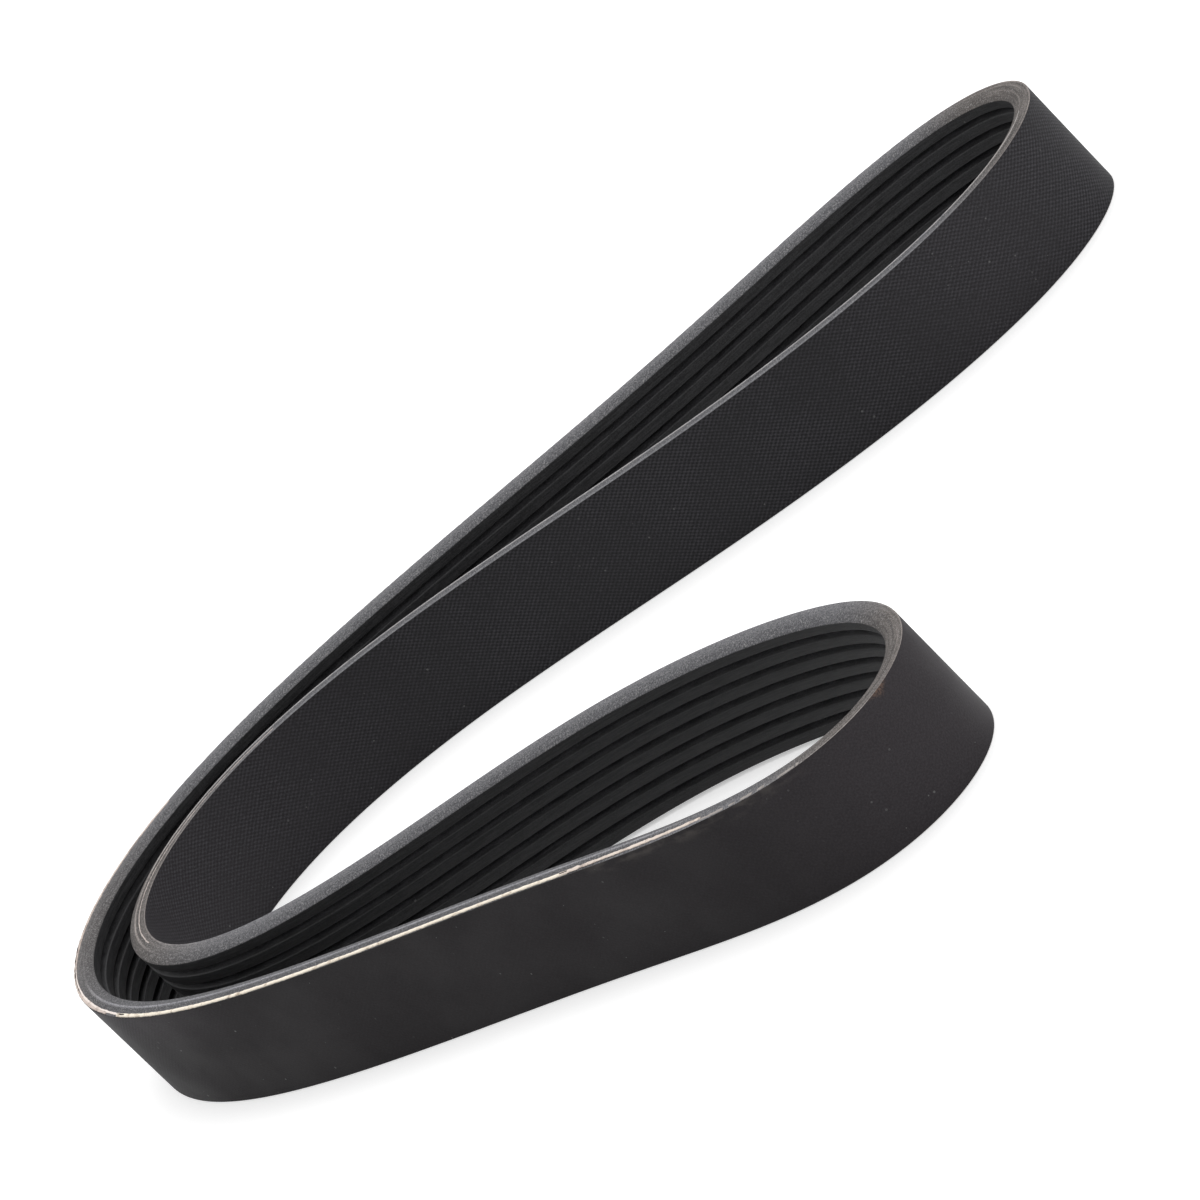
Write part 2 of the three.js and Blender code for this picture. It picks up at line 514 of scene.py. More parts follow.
@dataclass(frozen=True)
class GroundRib:
    """Black rubber of the ribs, ground to shape along the belt.

    long_painted_light and short_painted_light are painted light and shade: they pair depths from
    the back with how light the rubber is drawn there, lighter down the flanks and grooves, where
    the ribs shade each other, and darker towards the ribs' tips, on the long arm and in the short
    one's loop. highlight_start and highlight_end bound the painted highlight along each corner of a
    rib, by the distance from the rib's tip.
    """

    loop_length: float
    thickness: float
    specular: float = 0.28
    dark: Colour = (0.012, 0.012, 0.013)
    light: Colour = (0.042, 0.0415, 0.044)
    # edge is the colour of the painted highlight along each corner of a rib.
    edge: Colour = (0.055, 0.055, 0.058)
    lint: Colour = (0.12, 0.12, 0.12)
    streak: Cloud = Cloud(0.5 * MM)
    streak_stretch: Triple = (0.12, 0.12, 1.6)
    streak_share: float = 0.4
    grain: Cloud = Cloud(0.3 * MM, 3.0, 0.65)
    grain_light: Rise = Rise(0.38, 0.64)
    grain_roughness: Rise = Rise(0.3, 0.7, 0.55, 0.72)
    relief: float = 0.03 * MM
    short_span: Band = (0.53, 0.765)
    short_ease: float = 0.04
    long_painted_light: Levels = (
        (0.0, 1.3), (2.75 * MM, 1.3), (3.1 * MM, 1.4), (3.7 * MM, 1.3), (4.2 * MM, 0.85),
        (4.42 * MM, 0.62), (4.5 * MM, 0.82),
    )
    short_painted_light: Levels = (
        (0.0, 1.7), (2.75 * MM, 1.9), (3.3 * MM, 1.8), (3.8 * MM, 1.15), (4.2 * MM, 0.66),
        (4.42 * MM, 0.44), (4.5 * MM, 0.57),
    )
    highlight_start: Rise = Rise(0.34 * MM, 0.2 * MM)
    highlight_end: Rise = Rise(0.004 * MM, 0.05 * MM)
    highlight_grain: Rise = Rise(0.3, 0.6, 0.1, 0.8)
    highlight_short: Rise = Rise(0.0, 1.0, 1.0, 0.45)
    lint_specks: Specks = Specks(2.8 * MM, 0.3 * MM, 0.3)
    lint_cloud: Cloud = Cloud(8 * MM)
    lint_shown: Rise = Rise(0.5, 0.7, 0.1, 0.8)

    def material(self) -> bpy.types.Material:
        """Builds the finish.

        Returns:
            The finished material.
        """
        bench = FinishBench("ground_rib")
        _, depth, share = bench.place(Lay.EDGE, self.loop_length)
        from_tip = bench.math("SUBTRACT", self.thickness, depth)
        ring = bench.lay(Lay.RING)
        streak = bench.noise(bench.lay(Lay.RING, self.streak_stretch), self.streak)
        grain = bench.noise(ring, self.grain)
        level = bench.math("MULTIPLY_ADD", streak, self.streak_share,
                           bench.product(grain, 1 - self.streak_share))
        short = bench.stretch(share, self.short_span, self.short_ease)
        # Painted light and shade across the ribs, by depth, on the long arm and in the short arm's
        # loop.
        shade = bench.tint(short, bench.follow(depth, self.thickness, self.long_painted_light),
                           bench.follow(depth, self.thickness, self.short_painted_light))
        colour = bench.scaled(
            bench.tint(bench.rise(level, self.grain_light), self.dark, self.light), shade)
        # Painted highlight: a light line along each corner of a rib, broken by the grain and
        # fainter in the short arm's loop.
        worn = bench.product(
            bench.rise(from_tip, self.highlight_start), bench.rise(from_tip, self.highlight_end),
            bench.rise(grain, self.highlight_grain), bench.rise(short, self.highlight_short))
        colour = bench.tint(worn, colour, self.edge)
        lint = bench.product(bench.specks(ring, self.lint_specks),
                             bench.rise(bench.noise(ring, self.lint_cloud), self.lint_shown))
        colour = bench.tint(lint, colour, self.lint)
        normal = bench.relief(grain, self.relief, bench.relief(streak, self.relief))
        return bench.surface(colour, bench.rise(grain, self.grain_roughness), self.specular,
                             normal)


@dataclass(frozen=True)
class CutSide:
    """Speckled grey rubber of the sides, where the belt was cut from its sleeve.

    spans_painted_light and painted_light_elsewhere are painted light and shade: they pair depths
    from the back with how light the side is drawn there, with its light lines and dark bands, on
    the two stretches that painted_spans marks and on the others. bend_painted_light does so at the
    loop's sharp bends, on top of that, with a light line along the back's edge. Of the fields with
    bend in their names, bend_drag and bend_contrast say how a sharper bend changes the rubber's
    streaks and speckle, and the others how it changes the painted sheen and the painted light and
    shade.
    """

    loop_length: float
    thickness: float
    roughness: float = 0.85
    specular: float = 0.2
    relief: float = 0.04 * MM
    cool: Colour = (0.163, 0.162, 0.174)
    # The warm tone is a painted sheen, shown where the belt bends sharply.
    sheen_tone: Colour = (0.152, 0.135, 0.126)
    pit: Colour = (0.048, 0.048, 0.051)
    fleck: Colour = (0.28, 0.275, 0.275)
    short_span: Band = (0.31, 0.51)
    long_span: Band = (0.765, 0.035)
    span_ease: float = 0.02
    spans_painted_light: Levels = (
        (0.0, 0.86), (0.55 * MM, 1.0), (1.2 * MM, 0.55), (1.8 * MM, 0.50), (2.15 * MM, 0.72),
        (2.42 * MM, 1.7), (2.66 * MM, 1.9), (2.78 * MM, 0.65), (4.5 * MM, 0.60),
    )
    painted_light_elsewhere: Levels = (
        (0.0, 1.12), (0.6 * MM, 0.98), (1.5 * MM, 0.82), (2.7 * MM, 0.66), (4.5 * MM, 0.60),
    )
    bend_painted_light: Levels = (
        (0.0, 1.7), (0.2 * MM, 1.55), (0.42 * MM, 0.72), (0.75 * MM, 0.8), (1.05 * MM, 1.2),
        (1.5 * MM, 0.88), (2.1 * MM, 0.82), (2.55 * MM, 1.2), (2.8 * MM, 1.0), (4.5 * MM, 0.9),
    )
    bend_sheen: Rise = Rise(0.2, 0.6)
    bend_shade: Rise = Rise(0.25, 0.6)
    bend_drag: Rise = Rise(0.3, 0.9, 0.08, 0.34)
    bend_contrast: Rise = Rise(0.3, 0.9, 0.8, 0.6)
    grain: Cloud = Cloud(0.31 * MM, 3.0, 0.7)
    pitted: Rise = Rise(0.50, 0.38)
    flecked: Rise = Rise(0.52, 0.66)
    chop: Cloud = Cloud(0.9 * MM, 2.0, 0.6)
    chop_shade: Rise = Rise(0.3, 0.7, 0.93, 1.07)
    drag: Cloud = Cloud(0.45 * MM, 1.0)
    drag_stretch: Triple = (0.05, 1, 1)
    drag_swing: Rise = Rise(0.3, 0.7, -1.0, 1.0)

    def painted_spans(self, bench: FinishBench, share: Socket) -> Socket:
        """Marks the two stretches with their own painted light and shade, one of which runs over
        the loop's start.

        Args:
            bench: The finish's tree.
            share: Place on the loop.

        Returns:
            A socket that is 1 in them and 0 outside.
        """
        start, end = self.long_span
        long_arm = bench.math("ADD", bench.rise(share, Rise(start, start + self.span_ease)),
                              bench.rise(share, Rise(end, end - self.span_ease)))
        short_arm = bench.stretch(share, self.short_span, self.span_ease)
        return bench.math("MAXIMUM", short_arm, long_arm)

    def shade(self, bench: FinishBench, share: Socket, depth: Socket, bend: Socket) -> Socket:
        """Follows the painted light and shade across the side, by stretch and by how sharply it
        bends.

        Args:
            bench: The finish's tree.
            share: Place on the loop.
            depth: Depth from the back.
            bend: How sharply the belt bends.

        Returns:
            The shade's socket.
        """
        # Painted light and shade by depth: plain off the two marked stretches, rubbed on them, bent
        # at the sharp bends.
        plain, rubbed, bent = (bench.follow(depth, self.thickness, levels) for levels in
                               (self.painted_light_elsewhere, self.spans_painted_light, self.bend_painted_light))
        return bench.product(bench.tint(self.painted_spans(bench, share), plain, rubbed),
                             bench.tint(bench.rise(bend, self.bend_shade), (1, 1, 1), bent))

    def material(self) -> bpy.types.Material:
        """Builds the finish.

        Returns:
            The finished material.
        """
        bench = FinishBench("cut_side")
        _, depth, share = bench.place(Lay.EDGE, self.loop_length)
        ring = bench.lay(Lay.RING)
        bend = bench.add("ShaderNodeAttribute", attribute_name=Mark.BEND.value).outputs["Fac"]
        grain = bench.noise(ring, self.grain)
        chop = bench.noise(ring, self.chop)
        drag = bench.noise(bench.lay(Lay.EDGE, self.drag_stretch), self.drag)
        drag = bench.math("MULTIPLY_ADD", bench.rise(drag, self.drag_swing),
                          bench.rise(bend, self.bend_drag), 1.0)
        # Painted sheen: the side turns warmer in tone where the belt bends sharply.
        base = bench.tint(bench.rise(bend, self.bend_sheen), self.cool, self.sheen_tone)
        colour = bench.scaled(base, bench.product(
            self.shade(bench, share, depth, bend), drag, bench.rise(chop, self.chop_shade)))
        contrast = bench.rise(bend, self.bend_contrast)
        for how, tone in ((self.pitted, self.pit), (self.flecked, self.fleck)):
            colour = bench.tint(bench.product(bench.rise(grain, how), contrast), colour, tone)
        return bench.surface(colour, self.roughness, self.specular,
                             bench.relief(grain, self.relief))


@dataclass(frozen=True)
class CordYarn:
    """Twisted polyester yarn of the tensile cords, where it is laid bare or frayed."""

    name: str
    light: Colour = (0.90, 0.82, 0.70)
    dark: Colour = (0.52, 0.43, 0.34)
    stain: Cloud = Cloud(2.2 * MM, 3.0, 0.6)
    stain_share: float = 0.7
    fibre: Cloud = Cloud(0.18 * MM, 2.0, 0.6)
    clean: Rise = Rise(0.34, 0.5)
    roughness: float = 0.8
    specular: float = 0.2
    relief: float = 0.03 * MM

    def material(self) -> bpy.types.Material:
        """Builds the finish.

        Returns:
            The finished material.
        """
        bench = FinishBench(self.name)
        place = bench.add("ShaderNodeTexCoord").outputs["Object"]
        stain, fibre = bench.noise(place, self.stain), bench.noise(place, self.fibre)
        level = bench.math("MULTIPLY_ADD", stain, self.stain_share,
                           bench.product(fibre, 1 - self.stain_share))
        colour = bench.tint(bench.rise(level, self.clean), self.dark, self.light)
        return bench.surface(colour, self.roughness, self.specular,
                             bench.relief(fibre, self.relief))


@dataclass(frozen=True)
class Peg:
    """A round peg that the taut loop turns about, in the plan.

    A point in the plan is a complex number, x + yi. side is +1 with the peg inside the loop.
    """

    centre: complex
    radius: float
    side: int
    wrap_points: int = 60

    @property
    def signed(self) -> float:
        """The radius, negative where the peg is outside the loop."""
        return self.radius * self.side

    def line_to(self, other: "Peg") -> tuple[complex, complex, complex]:
        """Finds the straight line from this peg to the next.

        Args:
            other: The next peg round the loop.

        Returns:
            Its start, its end, and its direction into the loop.
        """
        gap = other.centre - self.centre
        along = gap / abs(gap)
        tilt = (self.signed - other.signed) / abs(gap)
        heading = along * (math.sqrt(1 - tilt * tilt) + 1j * tilt)
        inward = 1j * heading
        return self.centre - inward * self.signed, other.centre - inward * other.signed, inward

    def wrap(self, arrive: complex, leave: complex) -> np.ndarray:
        """Gives points round the peg.

        Args:
            arrive: Where the belt meets the peg.
            leave: Where it leaves.

        Returns:
            The points, from arrive up to but without leave.
        """
        first = np.angle(arrive - self.centre)
        last = np.angle(leave - self.centre)
        turn = (last - first) * self.side % FULL_TURN
        shares = np.arange(self.wrap_points) / self.wrap_points
        return self.centre + self.radius * np.exp(1j * (first + self.side * turn * shares))


@dataclass(frozen=True)
class Strand:
    """How a taut strand swells out of its straight line.

    bulge is the swelling at its middle, negative where it is pinched in, and lean is how much
    further it swells in its first half than in its last.
    """

    bulge: float
    lean: float

    def swelling(self, shares: np.ndarray) -> np.ndarray:
        """Gives the swelling at places along the strand, level at both ends."""
        height = self.bulge + 2 * self.lean * np.cos(math.pi * shares)
        return height * np.sin(math.pi * shares) ** 2


@dataclass(frozen=True)
class BeltLoop:
    """The belt's loop seen from above, measured on its smooth back.

    strands are the long arm's outer one, the short arm's outer and inner ones, and the long
    arm's inner one. outer_elbow is the outer elbow peg's place, from the inner one.
    """

    long_arm: float = 185.5 * MM
    short_arm: float = 177 * MM
    arm_angle: float = math.radians(55)
    long_end_peg: float = 29.5 * MM
    short_end_peg: float = 29.5 * MM
    inner_elbow_peg: float = 38 * MM
    outer_elbow_peg: float = 47.5 * MM
    outer_elbow: complex = complex(-7 * MM, 2.5 * MM)
    strands: tuple[Strand, ...] = (
        Strand(-4 * MM, -4.5 * MM), Strand(-0.5 * MM, 3 * MM),
        Strand(13 * MM, 7 * MM), Strand(4 * MM, -5 * MM),
    )
    easing_length: float = 72 * MM
    easing_rounds: int = 2
    fine_points: int = 1400
    strand_points: int = 90

    def pegs(self) -> list[Peg]:
        """Gives the pegs of the taut loop.

        Returns:
            The four pegs, in the order in which the belt runs round them.
        """
        short_end = self.short_arm * np.exp(-1j * self.arm_angle)
        return [
            Peg(complex(self.long_arm), self.long_end_peg, 1),
            Peg(self.outer_elbow, self.outer_elbow_peg, 1),
            Peg(complex(short_end), self.short_end_peg, 1),
            Peg(0j, self.inner_elbow_peg, -1),
        ]

    def taut(self) -> np.ndarray:
        """Lays the loop taut round its pegs, with each strand swollen out.

        Returns:
            The loop's points, unevenly spread.
        """
        pegs = self.pegs()
        lines = [peg.line_to(pegs[(i + 1) % len(pegs)]) for i, peg in enumerate(pegs)]
        shares = np.arange(self.strand_points) / self.strand_points
        runs = []
        for i, peg in enumerate(pegs):
            start, end, inward = lines[i]
            runs.append(peg.wrap(lines[i - 1][1], start))
            swelling = self.strands[i].swelling(shares)
            runs.append(start + (end - start) * shares - inward * swelling)
        return np.concatenate(runs)

    def eased(self) -> np.ndarray:
        """Lets the loop lie free: every bend is eased in by a running mean.

        Returns:
            The loop's points, with the middle of their box at 0.
        """
        even = spread_evenly(self.taut(), self.fine_points)
        spacing = loop_length(even) / self.fine_points
        reach = round((self.easing_length / spacing - 1) / 2)
        for _ in range(self.easing_rounds):
            even = sum(np.roll(even, k) for k in range(-reach, reach + 1)) / (2 * reach + 1)
        across, up = even.real, even.imag
        return even - ((across.max() + across.min()) / 2 + 1j * (up.max() + up.min()) / 2)


def loop_length(points: np.ndarray) -> float:
    """Measures once round a closed run of points in the plan."""
    return float(np.abs(np.roll(points, -1) - points).sum())


def read_between(ring: np.ndarray, places: np.ndarray) -> np.ndarray:
    """Reads a closed run of values at places between its points.

    Args:
        ring: The values, as complex numbers.
        places: Where they are read, counted in points.

    Returns:
        The values there.
    """
    index = np.arange(len(ring) + 1)
    closed = np.append(ring, ring[0])
    places = places % len(ring)
    return np.interp(places, index, closed.real) + 1j * np.interp(places, index, closed.imag)


def spread_evenly(points: np.ndarray, count: int) -> np.ndarray:
    """Spreads points evenly round a closed run.

    Args:
        points: The run, as complex numbers.
        count: How many points to give back.

    Returns:
        The evenly spread points.
    """
    closed = np.append(points, points[0])
    along = np.insert(np.cumsum(np.abs(np.diff(closed))), 0, 0)
    places = np.arange(count) * along[-1] / count
    return np.interp(places, along, closed.real) + 1j * np.interp(places, along, closed.imag)


def inward_at(points: np.ndarray) -> np.ndarray:
    """Gives the direction into the loop at each point of a closed run."""
    heading = np.roll(points, -1) - np.roll(points, 1)
    return 1j * heading / np.abs(heading)


def bend_levels(points: np.ndarray) -> np.ndarray:
    """Measures how sharply the belt bends.

    Args:
        points: The loop's points.

    Returns:
        For each point a level, from 0 where straight to 1 at the sharpest bend.
    """
    before = points - np.roll(points, 1)
    after = np.roll(points, -1) - points
    turn = np.abs(np.angle(after / before)) / np.abs(before)
    return turn / turn.max()


@dataclass(frozen=True)
class Corner:
    """A corner of the section: its place, as depth + height i, its rounding and its points."""

    place: complex
    rounding: float = 0.0
    points: int = 1


@dataclass(frozen=True)
class BeltSection:
    """The section across the belt: ribs inside, smooth back outside, both sides cut."""

    rib_count: int = 7
    rib_pitch: float = 3.56 * MM
    groove_angle: float = math.radians(40)
    rib_depth: float = 1.8 * MM
    root_width: float = 0.25 * MM
    thickness: float = 4.5 * MM
    tip_rounding: float = 0.26 * MM
    tip_points: int = 5
    root_rounding: float = 0.12 * MM
    root_points: int = 3
    back_rounding: float = 0.15 * MM
    back_points: int = 4
    cut_rounding: float = 0.5 * MM
    cut_points: int = 5
    bevel_reach: float = 1.0 * MM

    @property
    def width(self) -> float:
        """The belt's width from one cut side to the other."""
        return self.rib_count * self.rib_pitch

    @property
    def root_depth(self) -> float:
        """Depth of the grooves' bottom, from the back."""
        return self.thickness - self.rib_depth

    @property
    def flank_slope(self) -> float:
        """Rise of a rib's flank for each metre of depth."""
        return math.tan(self.groove_angle / 2)

    def corners(self) -> list[Corner]:
        """Gives the section's corners.

        Returns:
            The corners round the section, from the upper side over the back to the ribs.
        """
        half_root = self.root_width / 2
        tip_rise = half_root + self.rib_depth * self.flank_slope
        found = [
            Corner(complex(self.bevel_reach, self.width)),
            Corner(complex(0, self.width), self.back_rounding, self.back_points),
            Corner(complex(0, self.width - self.bevel_reach)),
            Corner(0j, self.back_rounding, self.back_points),
            Corner(complex(self.root_depth, 0), self.cut_rounding, self.cut_points),
        ]
        for rib in range(self.rib_count):
            low = rib * self.rib_pitch
            if rib > 0:
                found += [Corner(complex(self.root_depth, height), self.root_rounding,
                                 self.root_points) for height in (low - half_root, low + half_root)]
            found += [Corner(complex(self.thickness, height), self.tip_rounding, self.tip_points)
                      for height in (low + tip_rise, low + self.rib_pitch - tip_rise)]
        found.append(Corner(complex(self.root_depth, self.width), self.cut_rounding,
                            self.cut_points))
        return found

    def outline(self) -> list[complex]:
        """Rounds the section's corners.

        Returns:
            The section's points, as depth + height i.
        """
        corners = self.corners()
        points = []
        for i, corner in enumerate(corners):
            if corner.points == 1:
                points.append(corner.place)
                continue
            before = corners[i - 1].place - corner.place
            after = corners[(i + 1) % len(corners)].place - corner.place
            before, after = before / abs(before), after / abs(after)
            half_open = abs(np.angle(after / before)) / 2
            reach = corner.rounding / math.tan(half_open)
            for share in np.linspace(0, 1, corner.points):
                start = corner.place + before * reach * (1 - share)
                end = corner.place + after * reach * share
                points.append(start + (end - start) * share)
        return points


def stand_in(name: str, data: bpy.types.ID) -> bpy.types.Object:
    """Puts data in the scene as an object at the origin.

    Args:
        name: The object's name.
        data: Its mesh, curve, lamp or camera.

    Returns:
        The object.
    """
    made = bpy.data.objects.new(name, data)
    bpy.context.scene.collection.objects.link(made)
    return made


def settle(source: bpy.types.Object, name: str) -> bpy.types.Object:
    """Turns an object with a live tree into a plain mesh.

    Args:
        source: The object that carries the tree.
        name: Name of the finished piece.

    Returns:
        The finished piece. The source is gone.
    """
    graph = bpy.context.evaluated_depsgraph_get()
    graph.update()
    mesh = bpy.data.meshes.new_from_object(
        source.evaluated_get(graph), preserve_all_data_layers=True, depsgraph=graph)
    mesh.name = name
    bpy.data.objects.remove(source)
    return stand_in(name, mesh)


def keep(piece: bpy.types.Object) -> None:
    """Declares a finished piece: what it rides on, stands for and is made of.

    Args:
        piece: The piece.
    """
    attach(piece, BODY)
    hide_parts(NODE)
    faces = len(piece.data.polygons)
    LOG.info("%s: %d faces, finishes %s", piece.name, faces, [m.name for m in piece.data.materials])


class GrowthBench(NodeBench):
    """A geometry tree with named inputs, grown on one object."""

    def __init__(self, name: str) -> None:
        """Makes the tree.

        Args:
            name: The tree's name.
        """
        super().__init__(bpy.data.node_groups.new(name, "GeometryNodeTree"))
        for way in ("INPUT", "OUTPUT"):
            self.tree.interface.new_socket(
                name="Geometry", in_out=way, socket_type="NodeSocketGeometry")
        self.given: dict[str, object] = {}
        self.group = self.add("NodeGroupInput")

    def size(self, name: str, value: object, kind: str = "Float") -> Socket:
        """Adds a named input.

        Args:
            name: The input's name.
            value: What the modifier gives it.
            kind: The socket's kind.

        Returns:
            The input's socket inside the tree.
        """
        socket = self.tree.interface.new_socket(
            name=name, in_out="INPUT", socket_type="NodeSocket" + kind)
        self.given[socket.identifier] = value
        return self.group.outputs[name]

    def position(self) -> Socket:
        """Reads each point's own place."""
        return self.add("GeometryNodeInputPosition").outputs[0]

    def read(self, mark: Mark) -> Socket:
        """Reads one of the belt's measures."""
        return self.add("GeometryNodeInputNamedAttribute", {"Name": mark.value}).outputs[0]

    def on_faces(self, value: Socket) -> Socket:
        """Takes a measure from the points to the faces, as their mean."""
        return self.add("GeometryNodeFieldOnDomain", {0: value}, domain="FACE").outputs[0]

    def store(self, geometry: Socket, name: Enum, value: Socket, kind: str = "FLOAT",
              domain: str = "POINT") -> Socket:
        """Stores a measure or a map.

        Args:
            geometry: What it is stored on.
            name: Which one it is.
            value: Its value.
            kind: Its data type.
            domain: What it belongs to.

        Returns:
            The geometry's socket.
        """
        inputs = {"Geometry": geometry, "Name": name.value, "Value": value}
        return self.add("GeometryNodeStoreNamedAttribute", inputs, data_type=kind,
                        domain=domain).outputs[0]

    def upright_curve(self, line: Socket) -> Socket:
        """Makes a line of edges a curve whose section stands upright."""
        curve = self.add("GeometryNodeMeshToCurve", {0: line}).outputs[0]
        return self.add("GeometryNodeSetCurveNormal", {"Curve": curve}, mode="Z_UP").outputs[0]

    def held_under(self, geometry: Socket, top: Socket) -> Socket:
        """Brings what stands above a level down to it.

        Args:
            geometry: The geometry.
            top: The level, at each point.

        Returns:
            The lowered geometry's socket.
        """
        x, y, z = self.parts(self.position())
        place = self.joined(x, y, self.math("MINIMUM", z, top))
        inputs = {"Geometry": geometry, "Position": place}
        return self.add("GeometryNodeSetPosition", inputs).outputs[0]

    def grow(self, source: bpy.types.Object, geometry: Socket,
             *finishes: tuple[Socket, object]) -> None:
        """Ends the tree with its finishes and hangs it on its object.

        Args:
            source: The object.
            geometry: The tree's result.
            *finishes: Pairs of a finish and the faces it covers, laid on in this order.
        """
        whole = self.add("GeometryNodeRealizeInstances", {0: geometry}).outputs[0]
        for finish, faces in finishes:
            inputs = {"Geometry": whole, "Material": finish, "Selection": faces}
            whole = self.add("GeometryNodeSetMaterial", inputs).outputs[0]
        self.add("NodeGroupOutput", {0: whole})
        modifier = source.modifiers.new(self.tree.name, "NODES")
        modifier.node_group = self.tree
        for identifier, value in self.given.items():
            modifier[identifier] = value


@dataclass
class BeltBody:
    """The whole belt as one swept solid.

    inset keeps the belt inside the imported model, whose bends are made of chords, and fray_room
    lets frayed yarn stand proud of the upper side. side_reach and side_start bound the cut
    side's faces, and back_depth those of the back. seam_jump is a share of the loop.
    """

    loop: BeltLoop = BeltLoop()
    section: BeltSection = BeltSection()
    stations: int = 700
    bare_span: Band = (0.293, 0.507)
    bare_ease: Band = (0.01, 0.02)
    bare_drop: float = 0.34 * MM
    inset: float = 0.07 * MM
    fray_room: float = 0.06 * MM
    side_reach: float = 0.21 * MM
    side_start: float = 0.02 * MM
    back_depth: float = 0.1 * MM
    sharp_angle: float = math.radians(35)
    seam_jump: float = 0.25

    def __post_init__(self) -> None:
        """Lays out the loop once."""
        plan = spread_evenly(self.loop.eased(), self.stations)
        self.plan = plan + self.inset * inward_at(plan)
        self.length = loop_length(self.plan)

    def path(self) -> bpy.types.Object:
        """Makes the loop as a ring of edges, with its bend and its wear stored on it.

        Returns:
            The ring.
        """
        mesh = bpy.data.meshes.new("belt_path")
        count = len(self.plan)
        mesh.from_pydata([(p.real, p.imag, 0) for p in self.plan],
                         [(i, (i + 1) % count) for i in range(count)], [])
        for mark, levels in ((Mark.BEND, bend_levels(self.plan)), (Mark.WEAR, self.wear())):
            stored = mesh.attributes.new(mark.value, "FLOAT", "POINT")
            stored.data.foreach_set("value", levels.astype(np.float32))
        return stand_in("belt_path", mesh)

    def wear(self) -> np.ndarray:
        """Gives how far the upper back corner is worn off round the loop.

        Returns:
            For each station a level from 0 to 1.
        """
        shares = np.arange(self.stations) / self.stations
        (start, end), (start_ease, end_ease) = self.bare_span, self.bare_ease
        return (np.clip((shares - start) / start_ease, 0, 1)
                * np.clip((end - shares) / end_ease, 0, 1))

    def profile(self) -> bpy.types.Object:
        """Makes the section as a closed curve, with its depth to the left and its height down.

        Returns:
            The curve.
        """
        curve = bpy.data.curves.new("belt_profile", "CURVE")
        curve.dimensions = "3D"
        outline = self.section.outline()
        spline = curve.splines.new("POLY")
        spline.points.add(len(outline) - 1)
        for point, place in zip(spline.points, outline):
            point.co = (-place.real, -place.imag, 0, 1)
        spline.use_cyclic_u = True
        return stand_in("belt_profile", curve)

    def finishes(self) -> dict[str, bpy.types.Material]:
        """Makes the belt's finishes.

        Returns:
            The finishes of its ribs, back and sides, under their inputs' names.
        """
        width, thickness = self.section.width, self.section.thickness
        return {
            "Rib Finish": GroundRib(self.length, thickness).material(),
            "Back Finish": BackFabric(self.length, width).material(),
            "Side Finish": CutSide(self.length, thickness).material(),
        }

    def sweep(self, source: bpy.types.Object, profile: bpy.types.Object) -> None:
        """Grows the belt round its path and dresses it.

        Args:
            source: The path.
            profile: The section.
        """
        bench = GrowthBench("belt_sweep")
        section = bench.size("Section", profile, "Object")
        length = bench.size("Loop Length", self.length)
        width = bench.size("Width", self.section.width)
        drop = bench.size("Worn Drop", self.bare_drop)
        ribs, back, sides = (bench.size(name, finish, "Material")
                             for name, finish in self.finishes().items())
        curve = bench.upright_curve(bench.group.outputs["Geometry"])
        factor = bench.add("GeometryNodeSplineParameter").outputs["Factor"]
        curve = bench.store(curve, Mark.ALONG, bench.product(factor, length))
        shape = bench.add("GeometryNodeObjectInfo", {"Object": section}).outputs["Geometry"]
        depth = bench.product(bench.parts(bench.position())[0], -1.0)
        shape = bench.store(shape, Mark.DEPTH, depth)
        belt = bench.add("GeometryNodeCurveToMesh", {"Curve": curve, "Profile Curve": shape})
        belt = self.wear_corner(bench, belt.outputs[0], width, drop)
        belt = self.smooth(bench, self.lay_out(bench, belt, length))
        on_back, on_sides = self.outer_faces(bench, width)
        bench.grow(source, belt, (ribs, True), (back, on_back), (sides, on_sides))

    def wear_corner(self, bench: GrowthBench, belt: Socket, width: Socket,
                    drop: Socket) -> Socket:
        """Takes the upper back corner down where the cover fabric has worn off.

        Args:
            bench: The tree.
            belt: The swept belt.
            width: The belt's width.
            drop: How far the corner is down where the wear is full.

        Returns:
            The worn belt.
        """
        inside = bench.math("DIVIDE", bench.read(Mark.DEPTH), self.section.bevel_reach)
        left = bench.math("MAXIMUM", bench.math("SUBTRACT", 1.0, inside), 0.0)
        worn = bench.product(bench.read(Mark.WEAR), drop, left)
        worn = bench.math("ADD", worn, self.fray_room)
        return bench.held_under(belt, bench.math("SUBTRACT", width, worn))

    def lay_out(self, bench: GrowthBench, belt: Socket, length: Socket) -> Socket:
        """Stores the maps that the finishes are laid on.

        Args:
            bench: The tree.
            belt: The swept belt.
            length: Once round the belt.

        Returns:
            The belt with its maps.
        """
        along, depth = bench.read(Mark.ALONG), bench.read(Mark.DEPTH)
        height = bench.parts(bench.position())[2]
        angle = bench.product(bench.math("DIVIDE", along, length), FULL_TURN)
        radius = bench.math("SUBTRACT", self.length / FULL_TURN, depth)
        ring = bench.joined(bench.product(radius, bench.math("COSINE", angle)),
                            bench.product(radius, bench.math("SINE", angle)), height)
        belt = bench.store(belt, Lay.RING, ring, "FLOAT_VECTOR")
        # The last faces close the loop, so their far corners count on past its length.
        ahead = bench.math("SUBTRACT", bench.on_faces(along), along)
        behind = bench.math("GREATER_THAN", ahead, bench.product(length, self.seam_jump))
        closed = bench.math("MULTIPLY_ADD", behind, length, along)
        for lay, across in ((Lay.FACE, height), (Lay.EDGE, depth)):
            belt = bench.store(belt, lay, bench.joined(closed, across), "FLOAT2", "CORNER")
        return belt

